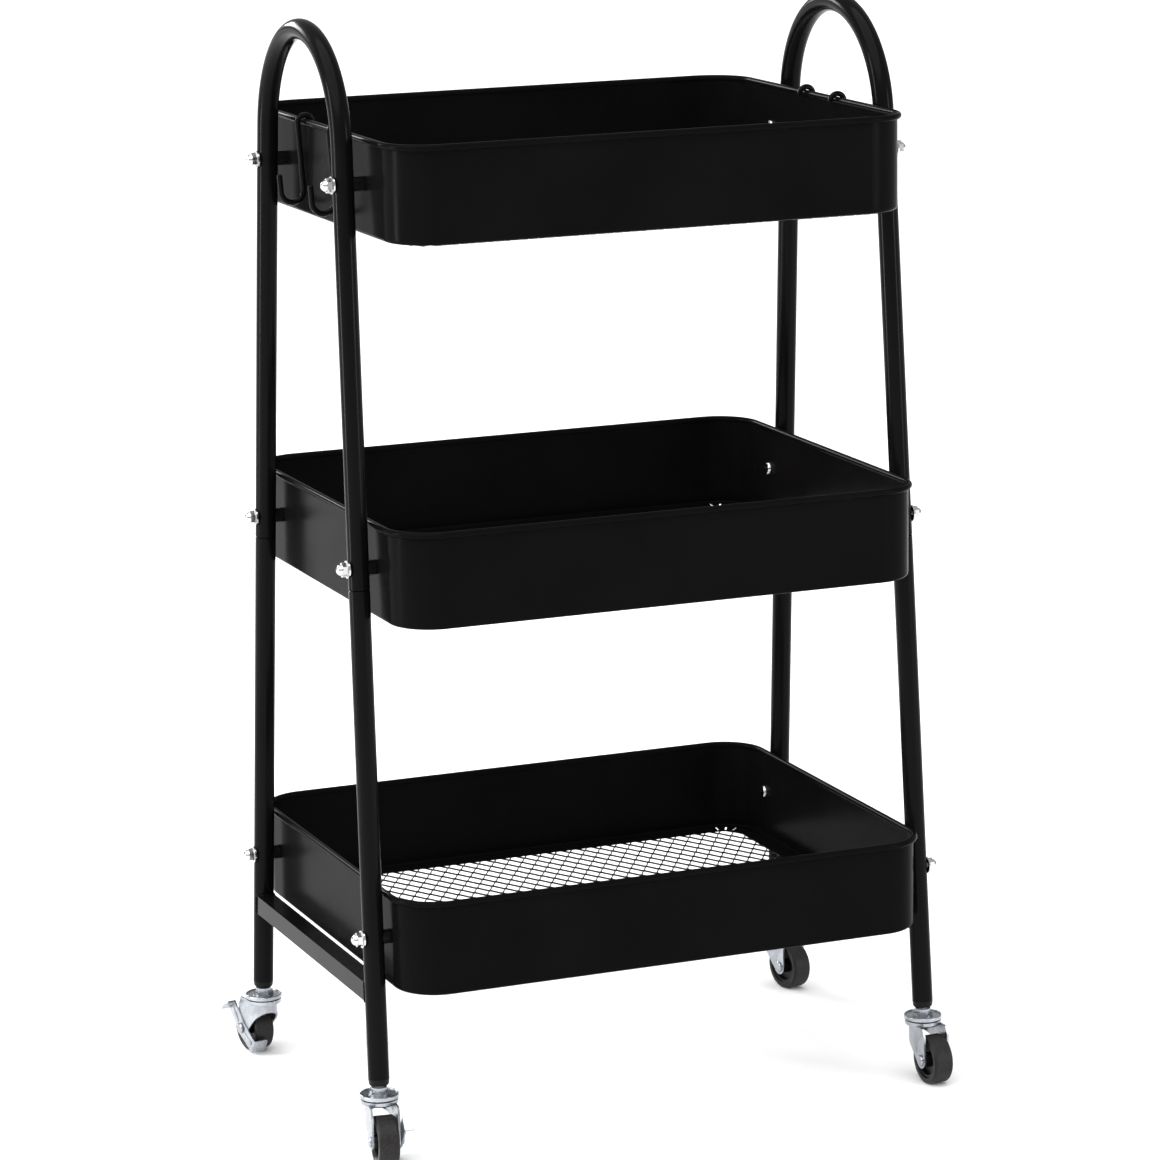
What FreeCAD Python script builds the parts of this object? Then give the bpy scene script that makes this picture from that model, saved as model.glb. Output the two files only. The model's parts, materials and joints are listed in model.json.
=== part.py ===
"""Three-tier rolling shelf cart: two hoop end frames, three pan baskets, four swivel casters.

Frame: millimetres, +Z up, X along the cart, front towards -Y, origin on the floor below
the centre of the cart.
"""
import FreeCAD, Part
import os
import re
import Sketcher

# Driving dimensions: name, value (mm or degrees), meaning.
SIZES = [
    ("tube_diameter", 16, "outside diameter of the end-frame tube"),
    ("tube_wall", 1.2, "wall of the end-frame tube and of the crossbars"),
    ("end_frame_x", 222.3, "distance of each end frame from the centre, at its joints"),
    ("frame_lean", 0.665, "lean of each end frame in towards its top"),
    ("hoop_radius", 84.4, "centre-line radius of the hoop handle"),
    ("hoop_centre_height", 748, "height of the hoop's centre"),
    ("leg_splay", 4.26, "lean of each leg from the vertical"),
    ("joint_height", 430, "height of the joint between hoop and lower leg"),
    ("joint_chamfer", 0.6, "chamfer on both tubes at that joint"),
    ("spigot_length", 24, "length of the spigot inside the joint"),
    ("leg_end_height", 56, "height of the plug's lower end"),
    ("plug_lip", 6, "visible length of the plug"),
    ("plug_insert", 20, "length of plug inside the tube"),
    ("plug_recess", 0.9, "plug's lower face above its lower end"),
    ("plug_round", 2, "rounding of the plug's lower edge"),
    ("plug_taper", 0.4, "plug's lip wider at the tube"),
    ("plug_gap", 0.05, "gap between lip and tube"),
    ("crossbar_width", 14.5, "side of the square crossbar"),
    ("crossbar_height", 120.5, "underside of the crossbar"),
    ("top_rim", 762, "top of the upper basket's rim"),
    ("top_half_length", 204, "centre to outer end wall, upper basket"),
    ("top_half_depth", 164, "centre to outer side wall, upper basket"),
    ("middle_rim", 481, "top of the middle basket's rim"),
    ("middle_half_length", 210, "centre to outer end wall, middle basket"),
    ("middle_half_depth", 170, "centre to outer side wall, middle basket"),
    ("bottom_rim", 204, "top of the lower basket's rim"),
    ("bottom_half_length", 213.5, "centre to outer end wall, lower basket"),
    ("bottom_half_depth", 172, "centre to outer side wall, lower basket"),
    ("wall_height", 73, "height of a basket"),
    ("sheet", 1, "thickness of the basket's sheet"),
    ("corner_radius", 34, "outer corner radius of a basket in plan"),
    ("bead", 5, "diameter of the rolled rim"),
    ("bead_offset", 0.5, "rim axis outside the wall's outer face"),
    ("bend", 3, "outer radius of the bend between wall and floor flange"),
    ("flange", 17, "wall's outer face to the edge of the floor window"),
    ("slot_width", 1.6, "width of the relief slots in the flange corners"),
    ("slot_inner", 18.5, "slot's inner end from the corner's centre"),
    ("slot_outer", 30, "slot's outer end from the corner's centre"),
    ("slot_first", 10, "first slot's direction in its corner"),
    ("slot_step", 17.5, "angle between slots"),
    ("mesh_lap", 9, "mesh edge inside the wall's outer face"),
    ("mesh_thickness", 0.6, "thickness of the mesh floor as a plain panel"),
    ("screw_drop", 35, "screws below the rim's top"),
    ("screw_radius", 2.9, "screw shank"),
    ("screw_hole", 3.1, "hole for a screw"),
    ("screw_head_radius", 5.2, "pan head"),
    ("screw_head_height", 3, "pan head"),
    ("screw_head_round", 2.2, "rounding of the pan head"),
    ("recess_length", 5.2, "cross recess, across"),
    ("recess_width", 1, "cross recess, one bar"),
    ("recess_depth", 1.4, "cross recess"),
    ("spacer_radius", 5.5, "spacer between basket and tube"),
    ("spacer_wrap", 2.1, "spacer's reach round the tube"),
    ("seat_gap", 0.1, "room for the frame's lean at spacers and washers"),
    ("washer_radius", 6.5, "washer under the cap nut"),
    ("washer_thickness", 1.2, "washer under the cap nut"),
    ("nut_flats", 9.6, "cap nut across flats"),
    ("nut_height", 4, "cap nut's hexagon"),
    ("nut_dome", 4.4, "radius of the cap nut's dome"),
    ("dome_sink", 0.5, "dome's centre below the hexagon's top"),
    ("nut_bore_depth", 5.6, "blind thread of the cap nut"),
    ("nut_bore_rest", 0.8, "blind thread beyond the screw's end"),
    ("stem_neck_radius", 6, "caster stem below the plug"),
    ("stem_radius", 4, "caster stem inside the plug"),
    ("stem_depth", 16, "caster stem inside the plug"),
    ("stem_gap", 0.1, "neck's top below the plug's end"),
    ("fit_gap", 0.05, "running clearance on a radius"),
    ("kingpin_radius", 3, "pin through both races"),
    ("kingpin_head_radius", 5, "riveted end of that pin"),
    ("kingpin_head_height", 1.7, "riveted end of that pin"),
    ("kingpin_head_round", 1.2, "rounding of that end"),
    ("kingpin_head_gap", 0.3, "that end below the fork's crown"),
    ("collar_top", 52.9, "top of the collar nut"),
    ("collar_radius", 7.6, "collar nut over its corners"),
    ("race_top", 50.9, "top of the upper race"),
    ("race_bottom", 47.9, "lower edge of the upper race"),
    ("race_radius", 14.75, "outer radius of the upper race"),
    ("race_edge", 0.6, "radius of the race's raised edge"),
    ("race_floor", 1, "race's flat below its edge"),
    ("race_round", 0.4, "rounding of the race's lower edge"),
    ("groove_half_width", 2, "ball groove in the upper race"),
    ("groove_roof", 0.6, "step inside the ball groove"),
    ("ball_radius", 1.5, "race balls"),
    ("ball_circle", 10.5, "radius of the ring of balls"),
    ("ball_height", 47.2, "height of the balls' centres"),
    ("ball_gap", 0.1, "room over and under the balls"),
    ("ball_count", 14, "balls in one race"),
    ("crown_lip", 46.9, "top of the lower race's lip"),
    ("crown_top", 44.9, "top of the fork's crown plate"),
    ("crown_radius", 14.25, "outer radius of the lower race"),
    ("crown_round", 1.2, "rounding below the lower race"),
    ("crown_lip_width", 0.9, "wall of the lower race's lip"),
    ("crown_groove", 2.2, "ball groove's inner edge inside the ball circle"),
    ("fork_plate", 1.6, "thickness of the fork's plates"),
    ("fork_half_width", 11, "centre to the outside of a fork plate"),
    ("fork_skirt", 6, "height of the fork's round front wall"),
    ("fork_rear", 19, "fork's upper rear corner behind the swivel axis"),
    ("fork_end_radius", 6.3, "rounded end at the axle"),
    ("fork_shoulder", 4.5, "foot of the skirt's slope ahead of the swivel axis"),
    ("fork_shoulder_drop", 13, "foot of that slope below the crown"),
    ("fork_bulge", 3, "swell of the fork's rear edge"),
    ("fork_bulge_drop", 6, "that swell below the crown"),
    ("fork_front_angle", 30, "where the front edge meets the rounded end"),
    ("fork_rear_angle", 8, "where the rear edge meets the rounded end"),
    ("trail", 17, "axle behind the swivel axis"),
    ("wheel_radius", 19, "outside of the tyre"),
    ("tread_half_width", 8, "half the tyre's width"),
    ("tyre_bore", 13.8, "tyre's seat on the core"),
    ("tyre_shoulder", 2, "rounding of the tyre's shoulders"),
    ("tyre_draft", 0.8, "slope of the tyre's side at the core"),
    ("core_half_width", 6.4, "half the core's rim width"),
    ("web_half_width", 3.2, "half the web's thickness"),
    ("core_land", 1.6, "width of the core's raised rim"),
    ("core_draft", 0.6, "slope between rim or hub and web"),
    ("hub_half_width", 9.2, "half the hub's length"),
    ("hub_radius", 5.4, "hub"),
    ("axle_radius", 2.5, "wheel axle"),
    ("axle_head_radius", 4.3, "riveted axle head"),
    ("axle_head_height", 1.6, "riveted axle head"),
    ("axle_head_round", 1.1, "rounding of the riveted head"),
    ("lever_thickness", 1.2, "brake lever's sheet"),
    ("lever_gap", 0.3, "clearance between lever and fork"),
    ("lever_half_width", 6, "half the brake lever's width"),
    ("pedal_length", 22.5, "axle to the pedal's tab"),
    ("pedal_angle", 49, "pedal arm above the trailing direction"),
    ("pedal_flare", 8, "pedal tab's width outwards"),
    ("toe_length", 22.8, "axle to the toe's tab"),
    ("toe_angle", 209, "toe arm from the trailing direction"),
    ("toe_reach", 11, "toe tab's width towards the tyre"),
    ("tab_round", 2.5, "rounded corners of both tabs"),
    ("rib_half_width", 1.3, "half the width of an arm's pressed rib"),
    ("rib_height", 0.6, "height of that rib"),
    ("rib_start", 2.2, "rib's start beyond the axle head"),
    ("rib_rest", 4, "rib's end before the tab"),
    ("left_rear_trail", 100, "trailing direction from +X"),
    ("left_front_trail", 262, "trailing direction from +X"),
    ("right_front_trail", 272, "trailing direction from +X"),
    ("right_rear_trail", 282, "trailing direction from +X"),
    ("hook_wire", 4.2, "diameter of the hook's wire"),
    ("hook_loop", 5.9, "centre-line radius of the loop over the rim"),
    ("hook_gap", 0.3, "clearance between loop and rim"),
    ("hook_end_round", 1.5, "rounding of the wire's ends"),
    ("hook_tail", 8, "loop's end below the horizontal"),
    ("hook_bend", 9, "centre-line radius of the lower bend"),
    ("hook_drop", 50.4, "lower bend's centre below the rim axis"),
    ("hook_tip", 13.4, "tip above the lower bend's centre"),
    ("hook_lean", 4, "lean of the hook towards the wall"),
    ("left_hook_rear", 38, "hook's place along the left rim"),
    ("left_hook_front", -33, "hook's place along the left rim"),
    ("right_hook_rear", 24, "hook's place along the right rim"),
    ("right_hook_front", -32, "hook's place along the right rim"),
]
TIERS = ("top", "middle", "bottom")
SIDES = (("left", -1), ("right", 1))
ENDS = (("front", -1), ("rear", 1))
BRAKED = ("left_front", "left_rear")
SLOTS_PER_CORNER = 5
TOLERANCE = 0.05  # for edges that are looked up by their size or place

NAMES = {row[0] for row in SIZES}
UP = FreeCAD.Vector(0, 0, 1)

document = FreeCAD.newDocument("shelf_cart")
sheet = document.addObject("Spreadsheet::Sheet", "dims")
subparts = []


# ---------------------------------------------------------------- sheet and expressions

def fill_sheet():
    """One row per driving dimension: name, value with its alias, meaning."""
    for row, (name, number, meaning) in enumerate(SIZES, 1):
        sheet.set(f"A{row}", name)
        sheet.set(f"B{row}", str(number))
        sheet.setAlias(f"B{row}", name)
        sheet.set(f"C{row}", meaning)
    document.recompute()


def bound(text):
    """The expression with each dimension's name pointing at its cell."""
    def cell(word):
        return f"dims.{word.group()}" if word.group() in NAMES else word.group()
    return re.sub(r"[a-z_]+", cell, str(text))


def value(text):
    return float(sheet.evalExpression(bound(text)))


def leg_reach(height):
    """Distance of a leg's axis from the X-Z plane at a height."""
    return f"(hoop_radius / cos(leg_splay) + (hoop_centre_height - ({height})) * tan(leg_splay))"


def frame_reach(height):
    """Distance of an end frame's plane from the Y-Z plane at a height."""
    return f"(end_frame_x + (joint_height - ({height})) * tan(frame_lean))"


def leg_turns(side, end):
    """Turns that bring an upright axis in line with a leg."""
    return (("0; 1; 0", f"{-side} * frame_lean"), ("1; 0; 0", f"{end} * leg_splay"))


def screw_height(tier):
    return f"({tier}_rim - screw_drop)"


def outer_face(tier):
    """Distance from the centre to the washers' seat on the tubes."""
    return f"({frame_reach(screw_height(tier))} + tube_diameter / 2 + seat_gap)"


TUBE_END = "(leg_end_height + plug_lip * cos(leg_splay) + plug_gap)"


# ---------------------------------------------------------------- document helpers

def keep(item, label):
    """Registers a sub-part that is written to its own file."""
    item.Label = label
    subparts.append(item)
    return item


def location(x, y, z, *turns):
    """Placement expression; turns are (axis, angle) pairs, the first one outermost."""
    spin = " * ".join(f"rotation(vector({axis}); {angle})" for axis, angle in turns)
    spin = spin or "rotation(vector(0; 0; 1); 0)"
    return bound(f"placement(vector({x}; {y}; {z}); {spin})")


def place(item, x, y, z, *turns):
    item.setExpression("Placement", location(x, y, z, *turns))
    return item


def place_on_frame(item, side):
    """Puts an item that was built in the Y-Z plane into its leaning end frame."""
    return place(item, f"{side} * {frame_reach(0)}", "0", "0", ("0; 1; 0", f"{-side} * frame_lean"))


def new_body(name):
    return document.addObject("PartDesign::Body", name)


def new_sketch(body, role, offset=None):
    """Sketch on one of the body's own origin planes, moved by an optional offset."""
    sketch = body.newObject("Sketcher::SketchObject", f"{body.Name}_sketch")
    plane = next(item for item in body.Origin.OriginFeatures if item.Role == role)
    sketch.AttachmentSupport = [(plane, "")]
    sketch.MapMode = "FlatFace"
    if offset:
        sketch.setExpression("AttachmentOffset", offset)
    return sketch


def constrain(sketch, text, kind, *where):
    number = sketch.addConstraint(Sketcher.Constraint(kind, *where, value(text)))
    sketch.setExpression(f"Constraints[{number}]", bound(text))


def pin(sketch, index, point, x, y):
    """Holds one point of a curve at x, y from the sketch's origin."""
    constrain(sketch, x, "DistanceX", -1, 1, index, point)
    constrain(sketch, y, "DistanceY", -1, 1, index, point)


def ring(sketch, radius, x="0", y="0"):
    centre = FreeCAD.Vector(value(x), value(y), 0)
    index = sketch.addGeometry(Part.Circle(centre, UP, value(radius)))
    pin(sketch, index, 3, x, y)
    constrain(sketch, radius, "Radius", index)


def add_edge(sketch, here, step):
    """Line to (x, y), or arc to (x, y, centre x, centre y, turn); gives its index and ends."""
    start = FreeCAD.Vector(value(here[0]), value(here[1]), 0)
    end = FreeCAD.Vector(value(step[0]), value(step[1]), 0)
    if len(step) == 2:
        return sketch.addGeometry(Part.LineSegment(start, end)), 1, 2
    centre = FreeCAD.Vector(value(step[2]), value(step[3]), 0)
    circle = Part.Circle(centre, UP, (start - centre).Length)
    first, last = (start, end) if step[4] == "left" else (end, start)
    arc = Part.ArcOfCircle(circle, circle.parameter(first), circle.parameter(last))
    index = sketch.addGeometry(arc)
    if abs(end.x - start.x) >= abs(end.y - start.y):
        constrain(sketch, step[3], "DistanceY", -1, 1, index, 3)
    else:
        constrain(sketch, step[2], "DistanceX", -1, 1, index, 3)
    return (index, 1, 2) if step[4] == "left" else (index, 2, 1)


def trace(sketch, start, steps, closed=True):
    """Chain of lines and arcs; a closed chain's last step ends at start."""
    corners = [start] + [step[:2] for step in steps]
    edges = [add_edge(sketch, here, step) for here, step in zip(corners, steps)]
    for (index, first, _), corner in zip(edges, corners):
        pin(sketch, index, first, *corner)
    for before, after in zip(edges, edges[1:]):
        sketch.addConstraint(Sketcher.Constraint("Coincident", before[0], before[2], after[0], after[1]))
    last, first = edges[-1], edges[0]
    if closed:
        sketch.addConstraint(Sketcher.Constraint("Coincident", last[0], last[2], first[0], first[1]))
    else:
        pin(sketch, last[0], last[2], *corners[-1])


def box_outline(sketch, x_low, y_low, x_high, y_high):
    corners = [(x_high, y_low), (x_high, y_high), (x_low, y_high), (x_low, y_low)]
    trace(sketch, (x_low, y_low), corners)


def rounded_outline(sketch, half_x, half_y, radius):
    """Rounded rectangle that starts in the middle of its +X side."""
    x, y = f"({half_x} - {radius})", f"({half_y} - {radius})"
    trace(sketch, (half_x, "0"), [
        (half_x, y),
        (x, half_y, x, y, "left"),
        (f"-{x}", half_y),
        (f"-({half_x})", y, f"-{x}", y, "left"),
        (f"-({half_x})", f"-{y}"),
        (f"-{x}", f"-({half_y})", f"-{x}", f"-{y}", "left"),
        (x, f"-({half_y})"),
        (half_x, f"-{y}", x, f"-{y}", "left"),
        (half_x, "0"),
    ])


def extrude(body, kind, sketch, length, reverse=False, both=False):
    """Pad or Pocket of a sketch; both spreads the length to the two sides."""
    feature = body.newObject(f"PartDesign::{kind}", f"{body.Name}_{kind.lower()}")
    feature.Profile = sketch
    feature.setExpression("Length", bound(length))
    feature.SideType = "Symmetric" if both else "One side"
    feature.Reversed = reverse
    return feature


def revolve(body, sketch):
    """Full turn about the sketch's vertical axis."""
    feature = body.newObject("PartDesign::Revolution", f"{body.Name}_revolution")
    feature.Profile = sketch
    feature.ReferenceAxis = (sketch, ["V_Axis"])
    feature.Angle = 360
    return feature


def sweep(body, profile, path):
    feature = body.newObject("PartDesign::AdditivePipe", f"{body.Name}_sweep")
    feature.Profile = profile
    feature.Spine = (path, [])
    return feature


def dress(body, kind, size, chosen):
    """Fillet or Chamfer on the edges of the last feature that chosen() accepts."""
    document.recompute()
    base = body.Tip
    edges = [f"Edge{n}" for n, edge in enumerate(base.Shape.Edges, 1) if chosen(edge)]
    feature = body.newObject(f"PartDesign::{kind}", f"{body.Name}_{kind.lower()}")
    feature.Base = (base, edges)
    feature.setExpression("Radius" if kind == "Fillet" else "Size", bound(size))
    return feature


def is_circle(edge, radius):
    return isinstance(edge.Curve, Part.Circle) and abs(edge.Curve.Radius - value(radius)) < TOLERANCE


def turned(name, start, steps):
    """Body turned about its own Z axis from an outline of radius and height."""
    body = new_body(name)
    sketch = new_sketch(body, "XZ_Plane")
    trace(sketch, start, steps + [start])
    revolve(body, sketch)
    return body


def copy_of(master, spot):
    copy = document.addObject("App::Link", f"{master.Name}_copy")
    copy.LinkedObject = master
    return place(copy, *spot)


def cylinder(name, radius, height):
    body = document.addObject("Part::Cylinder", name)
    body.setExpression("Radius", bound(radius))
    body.setExpression("Height", bound(height))
    return body


def cut(name, base, tool):
    result = document.addObject("Part::Cut", name)
    result.Base = base
    result.Tool = tool
    return result


def collect(label, items):
    """One node that holds several separate solids."""
    compound = document.addObject("Part::Compound", label)
    compound.Links = items
    return keep(compound, label)


def group(label, master, places):
    """One node of identical separate solids: a copy of master at each place."""
    return collect(label, [copy_of(master, spot) for spot in places])


def hexagon(sketch, radius):
    """Hexagon with its corners on a circle."""
    corners = [(f"{radius} * cos({60 * n})", f"{radius} * sin({60 * n})") for n in range(6)]
    trace(sketch, corners[0], corners[1:] + corners[:1])


# ---------------------------------------------------------------- end frames

def hoop_handle(label, side):
    """Bent tube: up one leg, over the hoop and down the other leg."""
    body = new_body(label)
    foot = leg_reach("joint_height")
    spring_y = "hoop_radius * cos(leg_splay)"
    spring_z = "hoop_centre_height + hoop_radius * sin(leg_splay)"
    path = new_sketch(body, "YZ_Plane")
    trace(path, (f"-{foot}", "joint_height"), [
        (f"-{spring_y}", spring_z),
        (spring_y, spring_z, "0", "hoop_centre_height", "right"),
        (foot, "joint_height"),
    ], closed=False)
    start = location("0", f"-{foot}", "joint_height", ("1; 0; 0", "-leg_splay"))
    section = new_sketch(body, "XY_Plane", start)
    ring(section, "tube_diameter / 2")
    ring(section, "tube_diameter / 2 - tube_wall")
    sweep(body, section, path)
    drill_legs(body, ("top", "middle"), (-1, 1))
    chamfer_joint(body)
    keep(place_on_frame(body, side), label)


def lower_leg(label, side, end):
    """Straight tube from the joint down to the plug."""
    body = new_body(label)
    reach = f"{end} * {leg_reach(TUBE_END)}"
    foot = location("0", reach, TUBE_END, ("1; 0; 0", f"{end} * leg_splay"))
    section = new_sketch(body, "XY_Plane", foot)
    ring(section, "tube_diameter / 2")
    ring(section, "tube_diameter / 2 - tube_wall")
    extrude(body, "Pad", section, f"(joint_height - {TUBE_END}) / cos(leg_splay)")
    drill_legs(body, ("bottom",), (end,))
    chamfer_joint(body)
    keep(place_on_frame(body, side), label)


def drill_legs(body, tiers, ends):
    """Screw holes along X through the tube."""
    sketch = new_sketch(body, "YZ_Plane")
    for tier in tiers:
        for end in ends:
            height = screw_height(tier)
            ring(sketch, "screw_hole", f"{end} * {leg_reach(height)}", height)
    extrude(body, "Pocket", sketch, "2 * tube_diameter", both=True)


def chamfer_joint(body):
    """Breaks the outer edge where hoop and leg meet."""
    def at_joint(edge):
        if not is_circle(edge, "tube_diameter / 2"):
            return False
        return abs(edge.Curve.Center.z - value("joint_height")) < TOLERANCE
    dress(body, "Chamfer", "joint_chamfer", at_joint)


def joint_spigots():
    """Solid bars inside the tubes that carry the joints."""
    spigot = cylinder("spigot", "tube_diameter / 2 - tube_wall - 2 * fit_gap", "spigot_length")
    foot = "(joint_height - spigot_length / 2 * cos(leg_splay))"
    group("joint_spigots", spigot, [
        (f"{side} * {frame_reach(foot)}", f"{end} * {leg_reach(foot)}", foot, *leg_turns(side, end))
        for _, side in SIDES for _, end in ENDS])


def leg_plugs():
    """Tapered plastic plugs in the leg ends, bored upright for the caster stems."""
    lip, seat = "tube_diameter / 2", "(tube_diameter / 2 - tube_wall - fit_gap)"
    edge, round_z = f"({lip} - plug_taper)", "(plug_recess + plug_round)"
    blank = turned("plug_blank", ("0", "plug_recess"), [
        (f"{edge} - plug_round", "plug_recess"),
        (edge, round_z, f"{edge} - plug_round", round_z, "left"),
        (lip, "plug_lip"),
        (seat, "plug_lip"),
        (seat, "plug_lip + plug_insert"),
        ("0", "plug_lip + plug_insert"),
    ])
    bore = cylinder("plug_bore", "stem_radius + fit_gap", "stem_depth + 1")
    plugs = []
    for _, side in SIDES:
        for _, end in ENDS:
            leaning = copy_of(blank, ("0", "0", "0", *leg_turns(side, end)))
            plug = cut("plug", leaning, bore)
            x = f"{side} * {frame_reach('leg_end_height')}"
            plugs.append(place(plug, x, f"{end} * {leg_reach('leg_end_height')}", "leg_end_height"))
    collect("leg_end_plugs", plugs)


def crossbar(label, side):
    """Square tube welded between the two legs of an end frame, coped to their round."""
    middle = "(crossbar_height + crossbar_width / 2)"
    body = new_body(f"{label}_tube")
    section = new_sketch(body, "XZ_Plane", location("0", middle, "0"))
    outer = "crossbar_width / 2"
    inner = "(crossbar_width / 2 - tube_wall)"
    box_outline(section, f"-{outer}", f"-{outer}", outer, outer)
    box_outline(section, f"-{inner}", f"-{inner}", inner, inner)
    extrude(body, "Pad", section, f"2 * {leg_reach(middle)}", both=True)
    low = "(crossbar_height - crossbar_width)"
    legs = []
    for name, end in ENDS:
        leg = cylinder(f"{label}_{name}_cope", "tube_diameter / 2", "3 * crossbar_width")
        splay = ("1; 0; 0", f"{end} * leg_splay")
        legs.append(place(leg, "0", f"{end} * {leg_reach(low)}", low, splay))
    copes = document.addObject("Part::Compound", f"{label}_copes")
    copes.Links = legs
    keep(place_on_frame(cut(label, body, copes), side), label)


# ---------------------------------------------------------------- baskets

def basket_shell(tier):
    """Pan of sheet metal: rolled rim, upright wall, bottom bend and open floor flange."""
    body = new_body(f"{tier}_basket_shell")
    wall, depth = f"{tier}_half_length", f"{tier}_half_depth"
    path = new_sketch(body, "XY_Plane")
    rounded_outline(path, wall, depth, "corner_radius")
    rim_x, rim_z = f"{wall} + bead_offset", "wall_height - bead / 2"
    outer_z = f"{rim_z} - sqrt((bead / 2) ^ 2 - bead_offset ^ 2)"
    inner_z = f"{rim_z} - sqrt((bead / 2) ^ 2 - (sheet + bead_offset) ^ 2)"
    section = new_sketch(body, "XZ_Plane")
    trace(section, (f"{wall} - flange", "0"), [
        (f"{wall} - bend", "0"),
        (wall, "bend", f"{wall} - bend", "bend", "left"),
        (wall, outer_z),
        (f"{wall} - sheet", inner_z, rim_x, rim_z, "left"),
        (f"{wall} - sheet", "bend"),
        (f"{wall} - bend", "sheet", f"{wall} - bend", "bend", "right"),
        (f"{wall} - flange", "sheet"),
        (f"{wall} - flange", "0"),
    ])
    sweep(body, section, path)
    cut_slots(body, wall, depth)
    holes = new_sketch(body, "YZ_Plane")
    for _, end in ENDS:
        reach = leg_reach(screw_height(tier))
        ring(holes, "screw_hole", f"{end} * {reach}", "wall_height - screw_drop")
    extrude(body, "Pocket", holes, f"2 * {wall} + 2 * bead", both=True)
    keep(place(body, "0", "0", f"{tier}_rim - wall_height"), f"{tier}_basket_shell")


def cut_slots(body, wall, depth):
    """Five radial relief slots in each corner of the floor flange."""
    sketch = new_sketch(body, "XY_Plane", location(
        f"{wall} - corner_radius", f"{depth} - corner_radius", "0"))
    for number in range(SLOTS_PER_CORNER):
        angle = f"(slot_first + {number} * slot_step)"
        corners = []
        for radius, side in (("slot_inner", -1), ("slot_outer", -1), ("slot_outer", 1), ("slot_inner", 1)):
            half = f"{side} * slot_width / 2"
            corners.append((f"{radius} * cos{angle} - {half} * sin{angle}",
                            f"{radius} * sin{angle} + {half} * cos{angle}"))
        trace(sketch, corners[0], corners[1:] + corners[:1])
    slots = extrude(body, "Pocket", sketch, "bend", both=True)
    mirrors = []
    for role in ("XZ_Plane", "YZ_Plane"):
        mirror = body.newObject("PartDesign::Mirrored", f"{body.Name}_mirror")
        plane = next(item for item in body.Origin.OriginFeatures if item.Role == role)
        mirror.MirrorPlane = (plane, [""])
        mirrors.append(mirror)
    pattern = body.newObject("PartDesign::MultiTransform", f"{body.Name}_slots")
    pattern.Originals = [slots]
    pattern.Transformations = mirrors
    body.Tip = pattern


def mesh_floor(tier):
    """Floor panel under the flange, as a plain panel of the mesh's outline and thickness."""
    body = new_body(f"{tier}_mesh_floor")
    sketch = new_sketch(body, "XY_Plane")
    rounded_outline(sketch, f"({tier}_half_length - mesh_lap)", f"({tier}_half_depth - mesh_lap)",
                    "(corner_radius - mesh_lap)")
    extrude(body, "Pad", sketch, "mesh_thickness", reverse=True)
    keep(place(body, "0", "0", f"{tier}_rim - wall_height"), f"{tier}_mesh_floor")


def outward(side):
    """Turn that points a fastener's Z axis out of an end of the cart."""
    return ("0; 1; 0", f"{side * 90}")


def fastener_places(tier, distance):
    """The four screw axes of one tier, at a distance from the centre."""
    height = screw_height(tier)
    return [(f"{side} * ({distance})", f"{end} * {leg_reach(height)}", height,
             ("1; 0; 0", f"{end} * leg_splay"), outward(side))
            for _, side in SIDES for _, end in ENDS]


def basket_screws(tier):
    """Pan-head screws from inside the basket through wall, spacer and tube."""
    tip = f"({outer_face(tier)} + washer_thickness + nut_bore_depth - nut_bore_rest)"
    length = f"{tip} - {tier}_half_length + sheet"
    head, shoulder = "screw_head_radius", "(screw_head_radius - screw_head_round)"
    round_z = "(screw_head_round - screw_head_height)"
    screw = turned(f"{tier}_screw", ("0", "-screw_head_height"), [
        (shoulder, "-screw_head_height"),
        (head, round_z, shoulder, round_z, "left"),
        (head, "0"),
        ("screw_radius", "0"),
        ("screw_radius", length),
        ("0", length),
    ])
    for across, along in (("recess_width", "recess_length"), ("recess_length", "recess_width")):
        recess = new_sketch(screw, "XY_Plane", location("0", "0", "-screw_head_height"))
        box_outline(recess, f"-{across} / 2", f"-{along} / 2", f"{across} / 2", f"{along} / 2")
        extrude(screw, "Pocket", recess, "recess_depth", reverse=True)
    group(f"{tier}_basket_screws", screw, fastener_places(tier, f"{tier}_half_length - sheet"))


def spacers(tier):
    """Plastic spacers between basket wall and tube, with a saddle for the tube."""
    wall, frame = f"{tier}_half_length", frame_reach(screw_height(tier))
    body = new_body(f"{tier}_spacer")
    section = new_sketch(body, "XY_Plane")
    ring(section, "spacer_radius")
    ring(section, "screw_hole")
    extrude(body, "Pad", section, f"{frame} - tube_diameter / 2 - {wall} + spacer_wrap")
    saddle = new_sketch(body, "YZ_Plane")
    ring(saddle, "tube_diameter / 2 + seat_gap", "0", f"{frame} - {wall}")
    extrude(body, "Pocket", saddle, "3 * spacer_radius", both=True)
    group(f"{tier}_spacers", body, fastener_places(tier, wall))


def cap_nuts():
    """Hexagonal nuts with a polished dome over the screw's end."""
    body = new_body("cap_nut")
    flats = new_sketch(body, "XY_Plane")
    hexagon(flats, "nut_flats / sqrt(3)")
    extrude(body, "Pad", flats, "nut_height")
    dome, foot = new_sketch(body, "XZ_Plane"), "(nut_height - dome_sink)"
    trace(dome, ("0", foot), [
        ("nut_dome", foot),
        ("0", f"{foot} + nut_dome", "0", foot, "left"),
        ("0", foot),
    ])
    revolve(body, dome)
    bore = new_sketch(body, "XY_Plane")
    ring(bore, "screw_radius + fit_gap")
    extrude(body, "Pocket", bore, "nut_bore_depth", reverse=True)
    group("cap_nuts", body, [
        spot for tier in TIERS
        for spot in fastener_places(tier, f"{outer_face(tier)} + washer_thickness")])


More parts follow.
